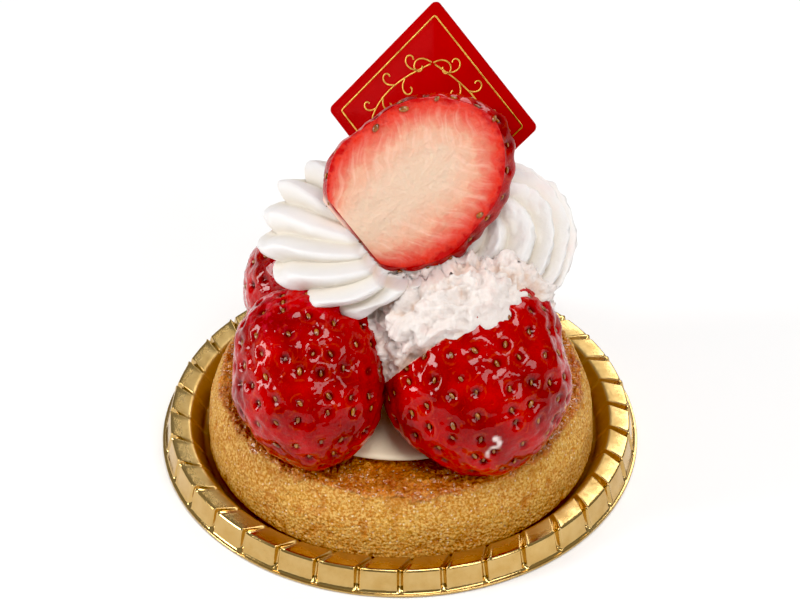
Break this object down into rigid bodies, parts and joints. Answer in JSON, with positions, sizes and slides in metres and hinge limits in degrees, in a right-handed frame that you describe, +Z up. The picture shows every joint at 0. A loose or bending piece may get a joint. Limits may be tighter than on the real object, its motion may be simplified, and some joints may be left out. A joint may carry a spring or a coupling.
{
  "type": "strawberry tart",
  "caption": "Low round shortcrust tart in a gold portion case, topped with whole glazed strawberries, piped cream, a halved strawberry and a small red card.",
  "frame": {"origin": "middle of the case's flat underside, on the surface that the tart stands on", "axes": "+Z up; -Y is the front, which the two front strawberries and the cut face of the half strawberry look to"},
  "size_m": [0.1, 0.1, 0.0871],
  "materials": {
    "gold_foil": "mirror-bright metallised gold sheet, moulded",
    "crust": "baked shortcrust, pale golden sides and a browned crumbly top",
    "smooth_cream": "smooth ivory cream",
    "whipped_cream": "soft white whipped cream",
    "strawberry_skin": "deep red skin with sunken seeds under clear glaze",
    "strawberry_flesh": "moist cut flesh, pale at the core and red at the rim",
    "red_card": "red coated card with gold line print"
  },
  "bodies": {
    "root": {"gold_case": "gold_foil", "tart_crust": "crust", "cream_bed": "smooth_cream", "strawberry_front_left": "strawberry_skin", "strawberry_front_right": "strawberry_skin", "strawberry_back_left": "strawberry_skin", "strawberry_back_right": "strawberry_skin", "cream_rosette_left": "whipped_cream", "cream_rosette_right": "whipped_cream", "cream_mound": "whipped_cream", "strawberry_half": "strawberry_flesh", "red_card": "red_card"}
  },
  "joints": []
}
